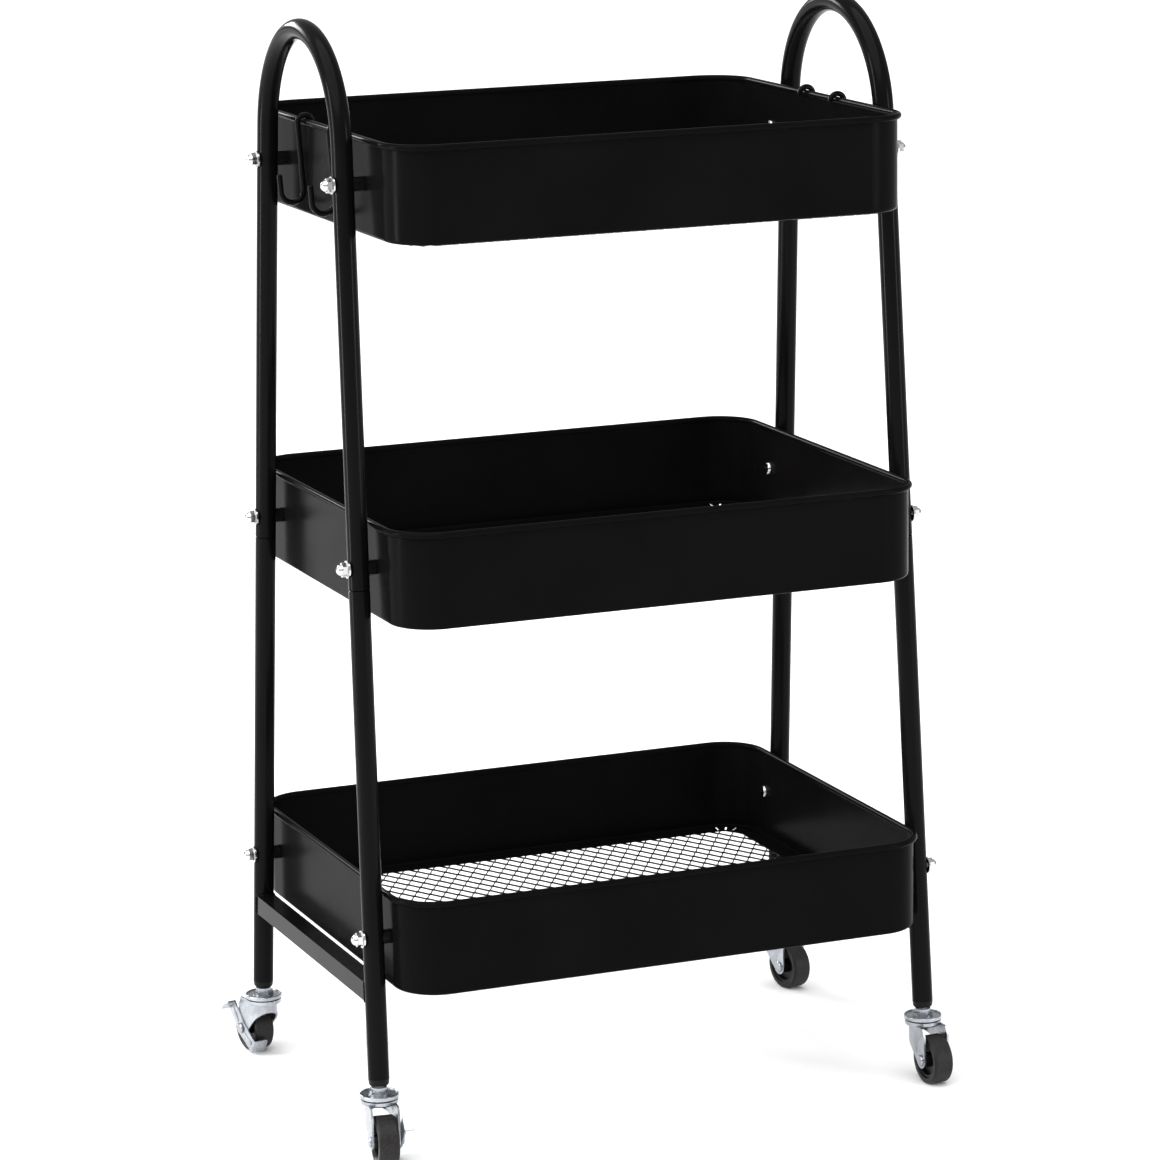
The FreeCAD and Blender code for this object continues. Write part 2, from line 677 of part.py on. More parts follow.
def washers():
    body = new_body("washer")
    sketch = new_sketch(body, "XY_Plane")
    ring(sketch, "washer_radius")
    ring(sketch, "screw_hole")
    extrude(body, "Pad", sketch, "washer_thickness")
    group("washers", body, [
        spot for tier in TIERS for spot in fastener_places(tier, outer_face(tier))])


# ---------------------------------------------------------------- casters

def caster_spots():
    """Name, X, Y and trailing direction of each caster's swivel axis."""
    across, along = frame_reach("leg_end_height"), leg_reach("leg_end_height")
    return [(f"{left}_{front}", f"({side} * {across})", f"({end} * {along})", f"{left}_{front}_trail")
            for left, side in SIDES for front, end in ENDS]


def upright_places():
    return [(x, y, "0", ("0; 0; 1", turn)) for _, x, y, turn in caster_spots()]


def caster_stems():
    """Stem pressed in the plug, neck, and the pin that is riveted under the fork."""
    head_top = "(crown_top - fork_plate - kingpin_head_gap)"
    head_foot = f"({head_top} - kingpin_head_height)"
    head_edge, round_z = "(kingpin_head_radius - kingpin_head_round)", f"({head_foot} + kingpin_head_round)"
    stem = turned("caster_stem", ("0", head_foot), [
        (head_edge, head_foot),
        ("kingpin_head_radius", round_z, head_edge, round_z, "left"),
        ("kingpin_head_radius", head_top),
        ("kingpin_radius", head_top),
        ("kingpin_radius", "collar_top"),
        ("stem_neck_radius", "collar_top"),
        ("stem_neck_radius", "leg_end_height - stem_gap"),
        ("stem_radius", "leg_end_height - stem_gap"),
        ("stem_radius", "leg_end_height + stem_depth"),
        ("0", "leg_end_height + stem_depth"),
    ])
    group("caster_stems", stem, upright_places())


def collar_nuts():
    """Hexagonal collars between neck and upper race."""
    body = new_body("collar_nut")
    sketch = new_sketch(body, "XY_Plane", location("0", "0", "race_top"))
    hexagon(sketch, "collar_radius")
    ring(sketch, "kingpin_radius + fit_gap")
    extrude(body, "Pad", sketch, "collar_top - race_top")
    group("caster_collars", body, upright_places())


def upper_races():
    """Fixed cups over the balls, with a raised edge and a groove below."""
    rim, hub = "race_radius", "(collar_radius + race_round)"
    groove_in = "(ball_circle - groove_half_width)"
    groove_out = "(ball_circle + groove_half_width)"
    roof = "(ball_height + ball_radius + ball_gap)"
    low_x, low_z = f"({rim} - race_round)", "(race_bottom + race_round)"
    edge_x, edge_z = f"({rim} - race_edge)", "(race_top - race_edge)"
    race = turned("upper_race", ("kingpin_radius + fit_gap", f"{roof} - groove_roof"), [
        (groove_in, f"{roof} - groove_roof"),
        (groove_in, roof),
        (groove_out, roof),
        (groove_out, "race_bottom"),
        (low_x, "race_bottom"),
        (rim, low_z, low_x, low_z, "left"),
        (rim, edge_z),
        (edge_x, "race_top", edge_x, edge_z, "left"),
        (f"{edge_x} - race_edge", edge_z, edge_x, edge_z, "left"),
        (f"{edge_x} - race_edge", "race_top - race_floor"),
        (hub, "race_top - race_floor"),
        (hub, "race_top"),
        ("kingpin_radius + fit_gap", "race_top"),
    ])
    group("caster_upper_races", race, upright_places())


def race_balls():
    """Bearing balls of the four swivel races."""
    ball = document.addObject("Part::Sphere", "race_ball")
    ball.setExpression("Radius", bound("ball_radius"))
    count = int(value("ball_count"))
    places = []
    for _, x, y, _ in caster_spots():
        for n in range(count):
            angle = f"(360 * {n} / ball_count)"
            ball_x, ball_y = f"{x} + ball_circle * cos{angle}", f"{y} + ball_circle * sin{angle}"
            places.append((ball_x, ball_y, "ball_height"))
    group("race_balls", ball, places)


def cup_outline(sketch, radius, far):
    """Half circle about the swivel axis with straight sides that run to a far end."""
    trace(sketch, (far, f"-{radius}"), [
        (far, radius),
        ("0", radius),
        ("0", f"-{radius}", "0", "0", "left"),
        (far, f"-{radius}"),
    ])


def trim_to_side_view(body):
    """Cuts away all that lies outside the fork's outline as seen from its side."""
    top, over, far = "crown_top", "(crown_top + fork_plate)", "(fork_half_width + fork_plate)"
    tip, axle_z = "fork_end_radius", "wheel_radius"
    front, rear = "(fork_front_angle)", "(fork_rear_angle)"
    side = new_sketch(body, "XZ_Plane")
    trace(side, (f"-{far}", over), [
        (f"-{far}", f"{top} - fork_skirt"),
        ("-fork_shoulder", f"{top} - fork_shoulder_drop"),
        (f"trail - {tip} * cos{front}", f"{axle_z} - {tip} * sin{front}"),
        (f"trail + {tip} * cos{rear}", f"{axle_z} + {tip} * sin{rear}", "trail", axle_z, "left"),
        ("fork_rear + fork_bulge", f"{top} - fork_bulge_drop"),
        ("fork_rear", top),
        ("fork_rear", over),
        (f"-{far}", over),
    ])
    box_outline(side, "-2 * fork_rear", "-fork_rear", "3 * fork_rear", "2 * crown_top")
    extrude(body, "Pocket", side, "2 * fork_rear", both=True)


def caster_fork(name, x, y, turn):
    """Pressed fork: round crown with the lower race, front skirt and two tapering side plates."""
    label = f"{name}_fork"
    body = new_body(label)
    roof, inner = "(crown_top - fork_plate)", "(fork_half_width - fork_plate)"
    block = new_sketch(body, "XY_Plane")
    cup_outline(block, "fork_half_width", "(2 * fork_rear)")
    extrude(body, "Pad", block, "crown_top")
    hollow = new_sketch(body, "XY_Plane")
    cup_outline(hollow, inner, "(3 * fork_rear)")
    extrude(body, "Pocket", hollow, roof, reverse=True)
    mouth = new_sketch(body, "XY_Plane")
    box_outline(mouth, "0", f"-{inner}", "3 * fork_rear", inner)
    extrude(body, "Pocket", mouth, "2 * crown_top", reverse=True)
    trim_to_side_view(body)
    race = new_sketch(body, "XZ_Plane")
    lip, pin_hole = "crown_radius", "(kingpin_radius + fit_gap)"
    floor = "(ball_height - ball_radius - ball_gap)"
    edge_x, edge_z = f"({lip} - crown_round)", f"({roof} + crown_round)"
    trace(race, (pin_hole, roof), [
        (edge_x, roof),
        (lip, edge_z, edge_x, edge_z, "left"),
        (lip, "crown_lip"),
        (f"{lip} - crown_lip_width", "crown_lip"),
        (f"{lip} - crown_lip_width", floor),
        ("ball_circle - crown_groove", floor),
        ("ball_circle - crown_groove", "crown_lip"),
        (pin_hole, "crown_lip"),
        (pin_hole, roof),
    ])
    revolve(body, race)
    kingpin = new_sketch(body, "XY_Plane", location("0", "0", "crown_lip"))
    ring(kingpin, pin_hole)
    extrude(body, "Pocket", kingpin, "crown_lip - crown_top + 2 * fork_plate")
    axle = new_sketch(body, "XZ_Plane")
    ring(axle, "axle_radius + fit_gap", "trail", "wheel_radius")
    extrude(body, "Pocket", axle, "3 * fork_half_width", both=True)
    keep(place(body, x, y, "0", ("0; 0; 1", turn)), label)


def at_wheel(item, x, y, turn):
    """Puts a body with its origin at the wheel's centre into its caster."""
    return place(item, f"{x} + trail * cos({turn})", f"{y} + trail * sin({turn})", "wheel_radius",
                 ("0; 0; 1", turn))


def wheel_axle(name, x, y, turn):
    """Riveted axle; it is longer where it also carries a brake lever."""
    label = f"{name}_axle"
    body = new_body(label)
    extra = " + 2 * lever_gap + lever_thickness" if name in BRAKED else ""
    plain, levered = "(-fork_half_width)", f"(fork_half_width{extra})"
    low, high = f"({plain} - axle_head_height)", f"({levered} + axle_head_height)"
    radius, edge = "axle_head_radius", "(axle_head_radius - axle_head_round)"
    sketch = new_sketch(body, "XY_Plane")
    trace(sketch, ("0", low), [
        (edge, low),
        (radius, f"{low} + axle_head_round", edge, f"{low} + axle_head_round", "left"),
        (radius, plain),
        ("axle_radius", plain),
        ("axle_radius", levered),
        (radius, levered),
        (radius, f"{high} - axle_head_round"),
        (edge, high, edge, f"{high} - axle_head_round", "left"),
        ("0", high),
        ("0", low),
    ])
    revolve(body, sketch)
    keep(at_wheel(body, x, y, turn), label)


def wheel_core(name, x, y, turn):
    """Plastic core: hub, recessed web and raised rim."""
    label = f"{name}_wheel_core"
    body = new_body(label)
    bore, seat, land = "(axle_radius + fit_gap)", "tyre_bore", "(tyre_bore - core_land)"
    sketch = new_sketch(body, "XY_Plane")
    trace(sketch, (bore, "-hub_half_width"), [
        ("hub_radius", "-hub_half_width"),
        ("hub_radius + core_draft", "-web_half_width"),
        (f"{land} - core_draft", "-web_half_width"),
        (land, "-core_half_width"),
        (seat, "-core_half_width"),
        (seat, "core_half_width"),
        (land, "core_half_width"),
        (f"{land} - core_draft", "web_half_width"),
        ("hub_radius + core_draft", "web_half_width"),
        ("hub_radius", "hub_half_width"),
        (bore, "hub_half_width"),
        (bore, "-hub_half_width"),
    ])
    revolve(body, sketch)
    keep(at_wheel(body, x, y, turn), label)


def wheel_tyre(name, x, y, turn):
    """Solid tyre with rounded shoulders."""
    label = f"{name}_tyre"
    body = new_body(label)
    edge, seat = "tread_half_width", "tyre_bore"
    shoulder, round_z = "(wheel_radius - tyre_shoulder)", "(tread_half_width - tyre_shoulder)"
    sketch = new_sketch(body, "XY_Plane")
    trace(sketch, (seat, "-core_half_width"), [
        (f"{seat} + tyre_draft", f"-{edge}"),
        (shoulder, f"-{edge}"),
        ("wheel_radius", f"-{round_z}", shoulder, f"-{round_z}", "left"),
        ("wheel_radius", round_z),
        (shoulder, edge, shoulder, round_z, "left"),
        (f"{seat} + tyre_draft", edge),
        (seat, "core_half_width"),
        (seat, "-core_half_width"),
    ])
    revolve(body, sketch)
    keep(at_wheel(body, x, y, turn), label)


def lever_sketch(body, angle, distance):
    """Sketch in a plane beside the fork, with its X axis along a lever arm."""
    return new_sketch(body, "XZ_Plane", location("0", "0", f"-({distance})", ("0; 0; 1", angle)))


def brake_lever(name, x, y, turn):
    """Stamped rocker on the axle: pedal tab flared outwards, toe tab bent across the tyre."""
    label = f"{name}_brake_lever"
    body = new_body(label)
    inside = "(fork_half_width + lever_gap)"
    outside = f"({inside} + lever_thickness)"
    half = "lever_half_width"
    disc = lever_sketch(body, "0", inside)
    ring(disc, half)
    extrude(body, "Pad", disc, "lever_thickness", reverse=True)
    for angle, length in (("pedal_angle", "pedal_length"), ("toe_angle", "toe_length")):
        arm = lever_sketch(body, angle, inside)
        box_outline(arm, "0", f"-{half}", length, half)
        extrude(body, "Pad", arm, "lever_thickness", reverse=True)
    pedal = lever_sketch(body, "pedal_angle", inside)
    box_outline(pedal, "pedal_length - lever_thickness", f"-{half}", "pedal_length", half)
    extrude(body, "Pad", pedal, "lever_thickness + pedal_flare", reverse=True)
    toe = lever_sketch(body, "toe_angle", outside)
    box_outline(toe, "toe_length - lever_thickness", f"-{half}", "toe_length", half)
    extrude(body, "Pad", toe, "lever_thickness + toe_reach")
    round_tabs(body)
    for angle, length in (("pedal_angle", "pedal_length"), ("toe_angle", "toe_length")):
        rib = lever_sketch(body, angle, outside)
        start = "axle_head_radius + rib_start"
        box_outline(rib, start, "-rib_half_width", f"{length} - rib_rest", "rib_half_width")
        extrude(body, "Pad", rib, "rib_height", reverse=True)
    bore = lever_sketch(body, "0", inside)
    ring(bore, "axle_radius + fit_gap")
    extrude(body, "Pocket", bore, "4 * lever_thickness", both=True)
    keep(at_wheel(body, x, y, turn), label)


def round_tabs(body):
    """Rounds the free corners of both tabs."""
    ends = (value("fork_half_width + lever_gap + lever_thickness + pedal_flare"),
            value("fork_half_width + lever_gap - toe_reach"))
    def at_corner(edge):
        flat = abs(edge.Length - value("lever_thickness")) < TOLERANCE
        return flat and min(abs(edge.CenterOfMass.y - end) for end in ends) < TOLERANCE
    dress(body, "Fillet", "tab_round", at_corner)


# ---------------------------------------------------------------- hooks

def hook(label, side, along):
    """Double-bent wire hook: loop over the upper rim, shank, and a J that opens outwards."""
    body = new_body(label)
    loop, bend = "hook_loop", "hook_bend"
    centre = "(hook_loop - hook_wire / 2 - bead / 2 - hook_gap)"
    tip_x, tip_z = f"{loop} + 2 * {bend}", "-hook_drop + hook_tip"
    path = new_sketch(body, "XZ_Plane")
    trace(path, (tip_x, tip_z), [
        (tip_x, "-hook_drop"),
        (loop, "-hook_drop", f"{loop} + {bend}", "-hook_drop", "right"),
        (loop, f"-{centre}"),
        (f"-{loop} * cos(hook_tail)", f"-{centre} - {loop} * sin(hook_tail)", "0", f"-{centre}", "left"),
    ], closed=False)
    section = new_sketch(body, "XY_Plane", location(tip_x, "0", tip_z))
    ring(section, "hook_wire / 2")
    sweep(body, section, path)
    dress(body, "Fillet", "hook_end_round", is_wire_end)
    half_turn = "180" if side < 0 else "0"
    place(body, f"{side} * (top_half_length + bead_offset)", along, "top_rim - bead / 2",
          ("0; 0; 1", half_turn), ("0; 1; 0", "hook_lean"))
    keep(body, label)


def is_wire_end(edge):
    """True for the outline of either end of the hook's wire."""
    if not is_circle(edge, "hook_wire / 2"):
        return False
    tip = value("hook_loop + 2 * hook_bend")
    centre = edge.Curve.Center
    at_tip = abs(centre.x - tip) < TOLERANCE and centre.z > value("-hook_drop") + TOLERANCE
    at_tail = centre.x < value("-hook_loop * cos(hook_tail)") + TOLERANCE
    return at_tip or at_tail


# ---------------------------------------------------------------- assembly and export

def build():
    fill_sheet()
    for left, side in SIDES:
        hoop_handle(f"{left}_hoop_handle", side)
        for front, end in ENDS:
            lower_leg(f"{left}_{front}_leg", side, end)
        crossbar(f"{left}_crossbar", side)
    joint_spigots()
    leg_plugs()
    for tier in TIERS:
        basket_shell(tier)
        mesh_floor(tier)
        basket_screws(tier)
        spacers(tier)
    cap_nuts()
    washers()
    caster_stems()
    collar_nuts()
    upper_races()
    race_balls()
    for name, x, y, turn in caster_spots():
        caster_fork(name, x, y, turn)
        wheel_axle(name, x, y, turn)
        wheel_core(name, x, y, turn)
        wheel_tyre(name, x, y, turn)
        if name in BRAKED:
            brake_lever(name, x, y, turn)
    for left, side in SIDES:
        for front, _ in ENDS:
            hook(f"{left}_{front}_hook", side, f"{left}_hook_{front}")
    document.recompute()


def check():
    """Stops on any failed object or unusable shape."""
    for item in document.Objects:
        if "Invalid" in item.State or "Error" in item.State:
            raise RuntimeError(f"{item.Label} ({item.TypeId}) is {item.State}")
    for item in subparts:
        if item.Shape.isNull() or not item.Shape.isValid() or item.Shape.Volume <= 0:
            raise RuntimeError(f"{item.Label} has no valid shape")


def export():
    os.makedirs("parts", exist_ok=True)
    for item in subparts:
        item.Shape.exportStep(f"parts/{item.Label}.step")
        box = item.Shape.BoundBox
        print(f"{item.Label:28s} {len(item.Shape.Solids):3d} solids {item.Shape.Volume:11.1f} mm3"
              f"  x {box.XMin:7.1f} {box.XMax:7.1f}  y {box.YMin:7.1f} {box.YMax:7.1f}"
              f"  z {box.ZMin:6.1f} {box.ZMax:6.1f}")


build()
check()
export()
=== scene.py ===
"""Looks of the rolling shelf cart: materials for the CAD parts, expanded-metal floors,
weld beads, a pale floor, soft light and the camera. Metres, in the frame of the CAD model."""

import json
import math

import bpy
from mathutils import Matrix, Vector


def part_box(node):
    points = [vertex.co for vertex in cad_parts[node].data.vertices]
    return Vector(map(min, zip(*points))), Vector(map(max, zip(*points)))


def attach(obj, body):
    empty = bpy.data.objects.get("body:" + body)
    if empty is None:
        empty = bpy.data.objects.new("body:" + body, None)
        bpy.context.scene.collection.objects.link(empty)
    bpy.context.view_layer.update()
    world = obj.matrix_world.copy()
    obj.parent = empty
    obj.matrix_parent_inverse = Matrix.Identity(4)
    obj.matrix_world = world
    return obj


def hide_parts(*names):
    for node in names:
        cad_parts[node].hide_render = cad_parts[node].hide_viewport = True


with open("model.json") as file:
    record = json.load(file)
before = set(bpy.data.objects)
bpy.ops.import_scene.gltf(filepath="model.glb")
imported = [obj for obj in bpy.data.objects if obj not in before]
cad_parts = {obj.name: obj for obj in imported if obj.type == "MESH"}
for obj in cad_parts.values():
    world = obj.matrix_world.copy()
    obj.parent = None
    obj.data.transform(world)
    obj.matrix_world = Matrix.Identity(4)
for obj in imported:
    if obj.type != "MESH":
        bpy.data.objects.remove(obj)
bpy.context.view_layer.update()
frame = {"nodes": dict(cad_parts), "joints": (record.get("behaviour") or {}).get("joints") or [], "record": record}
NODES = frame["nodes"]
TIERS = ("top", "middle", "bottom")
SIDES = ("left", "right")
ENDS = ("front", "rear")


# ---------------------------------------------------------------- node helpers

class Shader:
    """A material's node tree with one Principled surface, in the object's own metres."""

    def __init__(self, name, **settings):
        self.material = bpy.data.materials.new(name)
        self.material.use_nodes = True
        self.tree = self.material.node_tree
        self.tree.nodes.clear()
        self.surface = self.tree.nodes.new("ShaderNodeBsdfPrincipled")
        output = self.tree.nodes.new("ShaderNodeOutputMaterial")
        self.link(self.surface.outputs["BSDF"], output.inputs["Surface"])
        self.place = self.tree.nodes.new("ShaderNodeTexCoord").outputs["Object"]
        for socket, value in settings.items():
            self.surface.inputs[socket.replace("_", " ")].default_value = value

    def link(self, start, end):
        self.tree.links.new(start, end)

    def feed(self, node, socket, value):
        """Sets a socket to a plain value, or links it to another socket."""
        if isinstance(value, bpy.types.NodeSocket):
            self.link(value, node.inputs[socket])
        else:
            node.inputs[socket].default_value = value

    def math(self, operation, first, second=0.0):
        """One arithmetic step on numbers or sockets."""
        node = self.tree.nodes.new("ShaderNodeMath")
        node.operation = operation
        self.feed(node, 0, first)
        self.feed(node, 1, second)
        return node.outputs[0]

    def vector(self, operation, first, second):
        """One vector step; a dot product gives a number, the others a vector."""
        node = self.tree.nodes.new("ShaderNodeVectorMath")
        node.operation = operation
        self.feed(node, 0, first)
        self.feed(node, 1, second)
        return node.outputs["Value" if operation == "DOT_PRODUCT" else "Vector"]

    def scaled(self, factors):
        """The object's position stretched by a factor for each axis."""
        return self.vector("MULTIPLY", self.place, factors)

    def noise(self, scale, detail=3.0, roughness=0.5, at=None, distortion=0.0):
        """Cloudy values around one half."""
        node = self.tree.nodes.new("ShaderNodeTexNoise")
        self.feed(node, "Vector", at or self.place)
        self.feed(node, "Scale", scale)
        self.feed(node, "Detail", detail)
        self.feed(node, "Roughness", roughness)
        self.feed(node, "Distortion", distortion)
        return node.outputs["Fac"]

    def cells(self, scale):
        """Distance to the nearest of many scattered points."""
        node = self.tree.nodes.new("ShaderNodeTexVoronoi")
        self.feed(node, "Vector", self.place)
        self.feed(node, "Scale", scale)
        return node.outputs["Distance"]

    def span(self, value, low, high, to_low=0.0, to_high=1.0, smooth=False):
        """Maps low..high of a value to another range, held at its ends."""
        node = self.tree.nodes.new("ShaderNodeMapRange")
        node.interpolation_type = "SMOOTHSTEP" if smooth else "LINEAR"
        self.feed(node, "Value", value)
        sockets = ("From Min", "From Max", "To Min", "To Max")
        for socket, number in zip(sockets, (low, high, to_low, to_high)):
            self.feed(node, socket, number)
        return node.outputs["Result"]

    def mix(self, factor, first, second):
        """Colour between first and second."""
        node = self.tree.nodes.new("ShaderNodeMix")
        node.data_type = "RGBA"
        self.feed(node, 0, factor)
        for socket, colour in ((6, first), (7, second)):
            linked = isinstance(colour, bpy.types.NodeSocket)
            self.feed(node, socket, colour if linked else (*colour, 1.0))
        return node.outputs[2]

    def cavity(self, distance):
        """1 on open surfaces, less in corners and under other parts."""
        node = self.tree.nodes.new("ShaderNodeAmbientOcclusion")
        node.samples = 6
        self.feed(node, "Distance", distance)
        return node.outputs["AO"]

    def bump(self, *layers):
        """Stacks (height, strength, distance) layers into the surface's normal."""
        normal = None
        for height, strength, distance in layers:
            node = self.tree.nodes.new("ShaderNodeBump")
            self.feed(node, "Height", height)
            self.feed(node, "Strength", strength)
            self.feed(node, "Distance", distance)
            if normal:
                self.link(normal, node.inputs["Normal"])
            normal = node.outputs["Normal"]
        self.link(normal, self.surface.inputs["Normal"])

    def set(self, socket, value):
        """Sets or links one socket of the surface."""
        self.feed(self.surface, socket, value)


# ---------------------------------------------------------------- materials

def powder_coat(name, roughness=0.17, waviness=0.0, shine=0.045):
    """Gloss black powder coat: orange peel, faint cloudiness and a few dust specks."""
    m = Shader(name, Specular_IOR_Level=shine)
    cloud = m.noise(14.0, 4.0)
    fine = m.noise(420.0, 2.0)
    speck = m.span(m.cells(900.0), 0.0, 0.09, 1.0, 0.0)
    scattered = m.span(m.noise(60.0, 2.0), 0.62, 0.72)
    dust = m.math("MULTIPLY", speck, scattered)
    base = m.mix(cloud, (0.0028, 0.0026, 0.0028), (0.0050, 0.0046, 0.0049))
    m.set("Base Color", m.mix(m.math("MULTIPLY", dust, 0.12), base, (0.06, 0.06, 0.06)))
    clouded = m.span(cloud, 0.3, 0.7, roughness - 0.04, roughness + 0.06)
    m.set("Roughness", m.math("ADD", clouded, m.math("MULTIPLY", fine, 0.03)))
    layers = [(m.noise(1500.0, 2.0, 0.45), 0.06, 0.0001), (m.noise(320.0, 1.0), 0.05, 0.0003)]
    if waviness:
        layers.append((m.noise(11.0, 1.0), waviness, 0.004))
    m.bump(*layers)
    return m.material


def moulded_plastic(name):
    """Black moulded plastic with a fine spark-eroded grain and rubbed high spots."""
    colour = (0.0035, 0.0035, 0.0038)
    m = Shader(name, Specular_IOR_Level=0.12)
    cloud = m.noise(90.0, 3.0)
    rubbed = m.span(m.noise(700.0, 3.0), 0.55, 0.75, 0.0, 0.5)
    m.set("Base Color", m.mix(rubbed, colour, tuple(2.6 * c for c in colour)))
    m.set("Roughness", m.span(cloud, 0.3, 0.7, 0.26, 0.44))
    m.bump((m.noise(2600.0, 2.0), 0.25, 0.00012), (m.cells(1400.0), 0.10, 0.0001))
    return m.material


def zinc_plate(name):
    """Bright zinc plate on pressed steel: cloudy spangle, rolling lines, and painted shade that darkens and
    roughens the corners.
    """
    m = Shader(name, Metallic=1.0)
    cloud = m.noise(120.0, 4.0, 0.55)
    spangle = m.span(m.cells(520.0), 0.0, 0.8)
    lines = m.noise(260.0, 2.0, at=m.scaled((1.0, 6.0, 14.0)))
    bright = m.mix(m.span(cloud, 0.3, 0.7), (0.30, 0.315, 0.34), (0.50, 0.52, 0.55))
    toned = m.mix(m.math("MULTIPLY", spangle, 0.35), bright, (0.36, 0.38, 0.42))
    # Painted shade: occlusion darkens the base colour in corners and under other parts, and the same mask roughens
    # them.
    openness = m.math("MULTIPLY", m.cavity(0.004), m.span(cloud, 0.2, 0.8, 0.9, 1.1))
    painted_recess_shade = m.span(openness, 0.25, 0.75, 1.0, 0.0)
    m.set("Base Color", m.mix(m.math("MULTIPLY", painted_recess_shade, 0.35), toned, (0.05, 0.05, 0.052)))
    m.set("Roughness", m.math("ADD", m.span(cloud, 0.3, 0.7, 0.22, 0.34), m.math("MULTIPLY", painted_recess_shade, 0.25)))
    m.bump((lines, 0.12, 0.0001), (m.noise(900.0, 3.0), 0.10, 0.0001))
    return m.material


def polished_nickel(name):
    """Polished nickel with hairline scratches and painted shade darkening the corners."""
    m = Shader(name, Metallic=1.0)
    scratch = m.span(m.noise(500.0, 4.0, 0.6, at=m.scaled((1.0, 9.0, 1.0))), 0.58, 0.66)
    # Painted shade: occlusion darkens the base colour in corners and recesses.
    painted_recess_shade = m.span(m.cavity(0.0025), 0.3, 0.8, 1.0, 0.0)
    m.set("Base Color", m.mix(m.math("MULTIPLY", painted_recess_shade, 0.6), (0.62, 0.62, 0.62), (0.08, 0.08, 0.08)))
    polish = m.span(m.noise(300.0), 0.3, 0.7, 0.09, 0.17)
    m.set("Roughness", m.math("ADD", m.math("MULTIPLY", scratch, 0.12), polish))
    m.bump((m.noise(700.0, 3.0), 0.06, 0.0001))
    return m.material


def wheel_radius(m, centre, axis):
    """Distance of a surface point from the wheel's axle, and its place along the axle."""
    offset = m.vector("SUBTRACT", m.place, tuple(centre))
    along = m.vector("DOT_PRODUCT", offset, tuple(axis))
    squared = m.vector("DOT_PRODUCT", offset, offset)
    return m.math("SQRT", m.math("SUBTRACT", squared, m.math("MULTIPLY", along, along))), along


def tyre_rubber(name, centre, axis):
    """Grey-black rubber: fine running lines, turned circles and a scuffed, dusty tread."""
    m = Shader(name, Specular_IOR_Level=0.22)
    radius, along = wheel_radius(m, centre, axis)
    cloud = m.noise(160.0, 4.0, 0.6)
    tread = m.span(radius, 0.0180, 0.0188, smooth=True)
    scuff = m.span(m.noise(420.0, 5.0, 0.65, distortion=0.4), 0.46, 0.66)
    worn = m.math("MULTIPLY", tread, m.math("ADD", m.math("MULTIPLY", scuff, 0.55), 0.25))
    base = m.mix(cloud, (0.0030, 0.0028, 0.0028), (0.0065, 0.0060, 0.0059))
    m.set("Base Color", m.mix(worn, base, (0.026, 0.0235, 0.023)))
    m.set("Roughness", m.span(worn, 0.0, 0.6, 0.34, 0.60))
    running = m.math("SINE", m.math("MULTIPLY", along, 5200.0))
    circles = m.math("SINE", m.math("MULTIPLY", radius, 9000.0))
    m.bump((running, 0.12, 0.0001), (circles, 0.05, 0.0001), (m.noise(1300.0, 4.0), 0.30, 0.0003))
    return m.material


def core_plastic(name, centre, axis):
    """Glossy black nylon with turned circles on the web and a polished bearing face."""
    m = Shader(name, Specular_IOR_Level=0.25)
    radius, _ = wheel_radius(m, centre, axis)
    cloud = m.noise(200.0, 3.0)
    m.set("Base Color", m.mix(cloud, (0.002, 0.002, 0.0022), (0.005, 0.005, 0.0054)))
    hub = m.span(radius, 0.0050, 0.0060, 0.22, 0.36, smooth=True)
    m.set("Roughness", m.math("ADD", hub, m.math("MULTIPLY", cloud, 0.08)))
    circles = m.math("SINE", m.math("MULTIPLY", radius, 7000.0))
    m.bump((circles, 0.10, 0.0001), (m.noise(1500.0, 2.0), 0.12, 0.0001))
    return m.material


def studio_floor(name):
    """Pale matt paper with a very faint fibre."""
    m = Shader(name, Specular_IOR_Level=0.1, Roughness=0.85)
    m.set("Base Color", m.mix(m.noise(6.0, 3.0), (0.965, 0.965, 0.965), (0.98, 0.98, 0.98)))
    m.bump((m.noise(900.0, 2.0), 0.03, 0.0003))
    return m.material


SHARP_EDGE = math.radians(28)      # facets that meet at more than this stay crisp


def paint(node, material):
    """Gives a CAD node its material and smooth shading across its small facets."""
    part = NODES[node]
    part.data.materials.clear()
    part.data.materials.append(material)
    part.data.shade_smooth()
    part.data.set_sharp_from_angle(angle=SHARP_EDGE)


def wheel_joint(name):
    """Centre and axis of a wheel, from its spin joint."""
    joint = next(j for j in frame["joints"] if j["name"] == f"{name}_wheel_spin")
    return joint["pos_m"], joint["axis"]


def paint_cad():
    """One material per record slot, and for each wheel its own two, which follow its axle."""
    by_slot = {
        "powder_coat": powder_coat("powder_coat_tube"),
        "basket_coat": powder_coat("powder_coat_sheet", roughness=0.20, waviness=0.10, shine=0.012),
        "mesh_coat": powder_coat("powder_coat_mesh", roughness=0.26),
        "hook_coat": powder_coat("powder_coat_wire", roughness=0.13),
        "black_plastic": moulded_plastic("moulded_plastic"),
        "bright_steel": polished_nickel("bright_screw"),
        "bright_nickel": polished_nickel("polished_nickel"),
        "caster_zinc": zinc_plate("zinc_plate"),
        "inner_steel": zinc_plate("plain_steel"),
    }
    for part in frame["record"]["subparts"]:
        if part["material_slot"] in by_slot:
            paint(part["node"], by_slot[part["material_slot"]])
    for side in SIDES:
        for end in ENDS:
            name = f"{side}_{end}"
            paint(f"{name}_tyre", tyre_rubber(f"{name}_tyre_rubber", *wheel_joint(name)))
            paint(f"{name}_wheel_core", core_plastic(f"{name}_core_nylon", *wheel_joint(name)))
    return by_slot


# ---------------------------------------------------------------- built pieces

